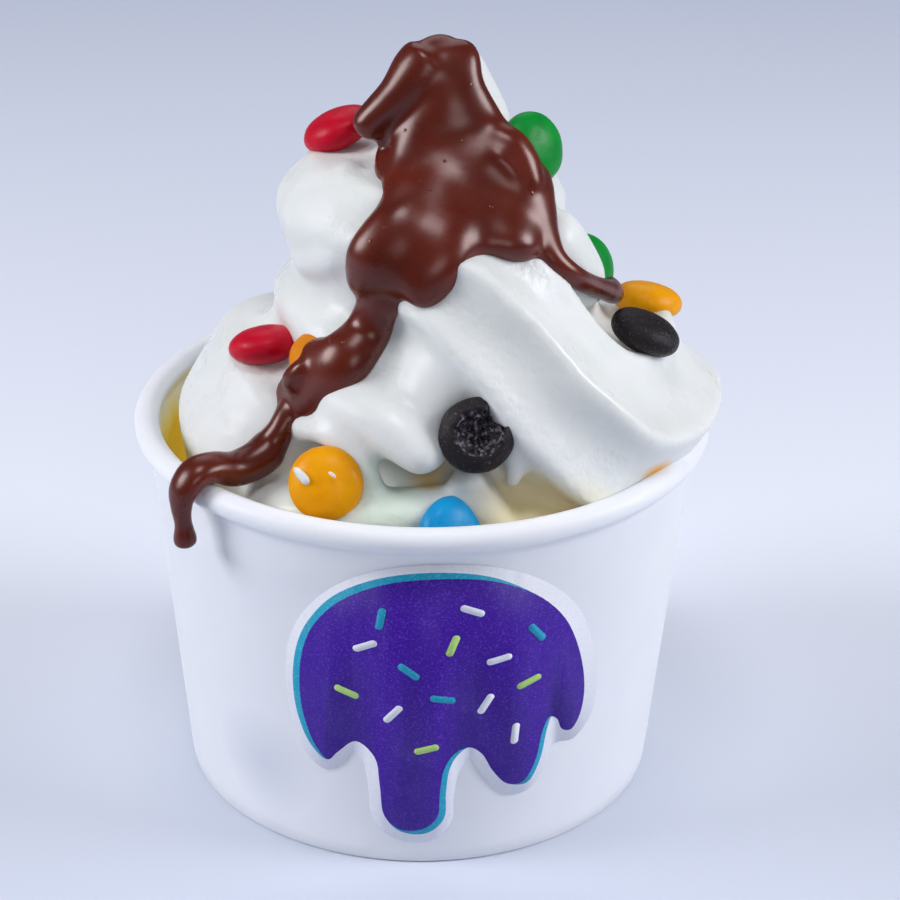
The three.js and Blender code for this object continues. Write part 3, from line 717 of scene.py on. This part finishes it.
# ---- yogurt ----------------------------------------------------------------------------
def yogurt_mass():
    """The piped ropes round their core and over the fill, and then the folds on them."""
    bm = bmesh.new()
    rope(bm, LONG_ROPE, ridges=RIDGES, sides=98, wander=0.05)
    rope(bm, INNER_ROPE, ridges=RIDGES, sides=98, wander=0.05)
    rope(bm, PEAK, ridges=PEAK_RIDGES, sides=60, facing=rightward)
    core = bmesh.new()
    turned(core, CORE, 64)
    bmesh.ops.translate(core, vec=(CORE_SHIFT, 0, 0), verts=core.verts)
    fill = bmesh.new()
    turned(fill, [(0, YOGURT_BOTTOM), (yogurt_radius(YOGURT_BOTTOM), YOGURT_BOTTOM),
                  (yogurt_radius(FILL_LEVEL), FILL_LEVEL), (34, FILL_LEVEL + 8), (0, FILL_LEVEL + 8)], 96)
    join(bm, core)
    join(bm, fill)
    body = remeshed(bm, *YOGURT_SOFTENED)
    for stations in FOLDS:
        rope(body, stations, wander=0.07)
    body = remeshed(body, *FOLDS_SOFTENED)
    for v in body.verts:
        out = math.hypot(v.co.x, v.co.y)
        most = yogurt_radius(v.co.z)
        if v.co.z < BEAD_UP and out > most:
            v.co.x, v.co.y = v.co.x * most / out, v.co.y * most / out
    return body


def plain_under(bm, level):
    """Replaces everything under the level by a plain wall down to the bottom of the cup."""
    bmesh.ops.bisect_plane(bm, geom=[*bm.verts, *bm.edges, *bm.faces], plane_co=(0, 0, level),
                           plane_no=(0, 0, 1), clear_inner=True)
    edge = [e for e in bm.edges if e.is_boundary]
    for up in np.linspace(level, YOGURT_BOTTOM, 5)[1:]:
        grown = bmesh.ops.extrude_edge_only(bm, edges=edge)["geom"]
        edge = [g for g in grown if isinstance(g, bmesh.types.BMEdge)]
        for v in {v for e in edge for v in e.verts}:
            v.co = radial(v.co) * yogurt_radius(up) + Vector((0, 0, up))
    bmesh.ops.holes_fill(bm, edges=edge, sides=0)
    bmesh.ops.triangulate(bm, faces=[f for f in bm.faces if len(f.verts) > 4])
    bmesh.ops.recalc_face_normals(bm, faces=bm.faces)


def smears(yogurt):
    bm = bmesh.new()
    for stream in SMEARS:
        rope(bm, stream, sides=24, step=0.25, wander=0.15)
    return piece("yogurt_smears", bm, [yogurt])


# ---- sauce -----------------------------------------------------------------------------
def poured(bm, stream, surface):
    """A stream whose stations are moved onto the yogurt's surface and face away from it."""
    stations, normals = [], []
    for turn, out, up, wide, thick in stream:
        at, normal, _, _ = surface.find_nearest(around(turn, out, up))
        stations.append((math.degrees(math.atan2(at.x, -at.y)), math.hypot(at.x, at.y), at.z, thick, wide))
        normals.append((at, normal))

    def away(at):
        shares = [(normal, 1 / (0.5 + (at - place).length_squared)) for place, normal in normals]
        return sum((normal * share for normal, share in shares), Vector()).normalized()

    rope(bm, stations, sides=40, step=0.8, facing=away)


def hung(bm, stream):
    """A stream that keeps its own way through the air, flat like the heap's side."""
    rope(bm, [(turn, out, up, thick, wide) for turn, out, up, wide, thick in stream],
         sides=40, step=0.8, facing=sloping)


def sauce_mass(surface):
    """The coat, closed and smoothed to one sheet, and then the runs, the drop and the film's thin edge."""
    bm = bmesh.new()
    for stream in POURED:
        poured(bm, stream, surface)
    for stream in FILM:
        hung(bm, stream)
    body = remeshed(bm, *COAT_SOFTENED)
    for stream in RUNS:
        poured(body, stream, surface)
    for stream in HANGING + FILM:
        hung(body, stream)
    return remeshed(body, *SAUCE_SOFTENED)


# ---- lentils ---------------------------------------------------------------------------
def seat_of(node):
    """Where a lentil of the frame lies: its middle in millimetres and its flat face's normal."""
    points = np.array([v.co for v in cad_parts[node].data.vertices]) / MM
    middle = (points.min(0) + points.max(0)) / 2
    _, axes = np.linalg.eigh(np.cov((points - points.mean(0)).T))
    normal = Vector(axes[:, 0])
    outward = Vector((middle[0], middle[1], 30))
    return Vector(middle), normal if normal.dot(outward) > 0 else -normal


def lentil(node, materials, seed):
    """One lentil of the frame, a little uneven in its own way."""
    middle, normal = seat_of(node)
    bm = bmesh.new()
    bmesh.ops.create_uvsphere(bm, u_segments=64, v_segments=32, radius=1)
    for v in bm.verts:
        out = math.hypot(v.co.x, v.co.y)
        if out > 1e-6:
            swell = out ** -0.15  # its edge is blunter than an ellipsoid's
            v.co.x, v.co.y = v.co.x * swell, v.co.y * swell
        uneven = 1 + LENTIL_UNEVEN * noise.noise(v.co * 1.6 + Vector((seed * 7.3, 0, 0)))
        v.co = v.co * Vector((LENTIL_RADIUS, LENTIL_RADIUS, LENTIL_HALF_THICK)) * uneven
    if node == "candy_cracked":
        broken(bm)
    turn = normal.to_track_quat("Z", "Y").to_matrix().to_4x4()
    bmesh.ops.transform(bm, matrix=Matrix.Translation(middle) @ turn, verts=bm.verts)
    return piece(node.replace("candy", "lentil"), bm, materials, [node])


def broken(bm):
    """Sinks the bites into the lentil's face and gives them the crumb inside."""
    for x, y, radius in BROKEN_AT:
        for v in bm.verts:
            if v.co.z < 0:
                continue
            ragged = 1 + 0.25 * noise.noise(v.co * 1.1)
            near = Vector((v.co.x - x, v.co.y - y)).length / (radius * ragged)
            if near < 1:
                v.co.z -= BROKEN_DEEP * (1 - near ** 4) * (1 + 0.5 * noise.noise(v.co * 2.3))
    for f in bm.faces:
        at = f.calc_center_median()
        near = min(Vector((at.x - x, at.y - y)).length / radius for x, y, radius in BROKEN_AT)
        if near < 1 and at.z > -1:
            f.material_index = 1


# ---- build -----------------------------------------------------------------------------
board = coated_board()
paper_cup(board, inner_board())
side_seam(board)
cup_label()

heap = yogurt_mass()
sauce = sauce_mass(BVHTree.FromBMesh(heap))
plain_under(heap, PLAIN_UNDER)
yogurt = frozen_yogurt()
piece("yogurt_swirl", heap, [yogurt], ["frozen_yogurt"])
smears(yogurt)
piece("chocolate_coat", sauce, [chocolate()], ["chocolate_sauce"])

SHELLS = {
    "red": sugar_shell("red_sugar_shell", "#ca0529", "#b80526"),
    "orange": sugar_shell("orange_sugar_shell", "#df8a1f", "#d67c14"),
    "yellow": sugar_shell("yellow_sugar_shell", "#f2a600", "#ea9800"),
    "blue": sugar_shell("blue_sugar_shell", "#1297d2", "#0d8bc6"),
    "green": sugar_shell("green_sugar_shell", "#008e34", "#00802c"),
    "brown": cocoa_shell(),
}
CRUMB = cocoa_crumb()
LENTILS = [("candy_red_upper", "red"), ("candy_red_lower", "red"), ("candy_orange", "orange"),
           ("candy_yellow_front", "yellow"), ("candy_blue", "blue"), ("candy_cracked", "brown"),
           ("candy_brown", "brown"), ("candy_yellow_right", "yellow"), ("candy_green_upper", "green"),
           ("candy_green_lower", "green")]
for number, (node, shade) in enumerate(LENTILS):
    coats = [SHELLS[shade], CRUMB] if node == "candy_cracked" else [SHELLS[shade]]
    lentil(node, coats, number)


# ---- table, light and camera -------------------------------------------------------------
def table_top():
    bm = bmesh.new()
    bmesh.ops.create_grid(bm, x_segments=8, y_segments=8, size=6)
    mesh = bpy.data.meshes.new("table_top")
    bm.to_mesh(mesh)
    bm.free()
    mesh.materials.append(studio_floor())
    made = bpy.data.objects.new("table_top", mesh)
    bpy.context.scene.collection.objects.link(made)


DISK_WIDTH = 1.13  # a disk this wide has the area of a square one wide


def softbox(name, place, aim, size, power, colour):
    """A round softbox with the area of a square of this size."""
    light = bpy.data.lights.new(name, "AREA")
    light.shape, light.size = "DISK", size * DISK_WIDTH
    light.energy, light.color = power, srgb(colour)[:3]
    made = bpy.data.objects.new(name, light)
    made.location = place
    made.rotation_euler = (Vector(aim) - Vector(place)).to_track_quat("-Z", "Y").to_euler()
    bpy.context.scene.collection.objects.link(made)


def studio():
    world = bpy.data.worlds.new("pale_room")
    bpy.context.scene.world = world
    world.use_nodes = True
    back = world.node_tree.nodes["Background"]
    back.inputs["Color"].default_value = srgb("#eaeef8")
    back.inputs["Strength"].default_value = 0.12
    aim = (0, 0, 0.07)
    softbox("left_box", (-0.78, -0.12, 0.5), aim, 0.4, 5.4, "#fbfbff")
    softbox("right_box", (0.78, -0.12, 0.5), aim, 0.4, 5.5, "#fbfbff")
    softbox("top_box", (-0.03, -0.2, 0.88), aim, 0.26, 1.7, "#fafaff")
    softbox("front_box", (0.14, -0.86, 0.5), aim, 0.35, 1.0, "#fbfbff")
    softbox("back_box", (0, 0.9, 0.9), (0, 0.3, 0), 0.8, 2.2, "#f4f6ff")
    bpy.context.scene.view_settings.view_transform = "Standard"


def camera():
    """A long lens that looks down on the cup from the front."""
    place = Vector((-2.3, -385.4, 245.6)) * MM
    down, turn, roll = math.radians(26.06), 0.0186, 0.0156  # radians
    ahead = Vector((math.sin(turn) * math.cos(down), math.cos(turn) * math.cos(down), -math.sin(down)))
    right = Vector((math.cos(turn), -math.sin(turn), 0))
    up = right.cross(ahead)
    right, up = (right * math.cos(roll) + up * math.sin(roll), up * math.cos(roll) - right * math.sin(roll))
    lens = bpy.data.cameras.new("front_lens")
    lens.sensor_width = 36
    lens.lens = 99.4
    lens.clip_start = 0.01
    made = bpy.data.objects.new("front_camera", lens)
    made.matrix_world = Matrix.Translation(place) @ Matrix((right, up, -ahead)).transposed().to_4x4()
    bpy.context.scene.collection.objects.link(made)
    bpy.context.scene.camera = made


table_top()
studio()
camera()
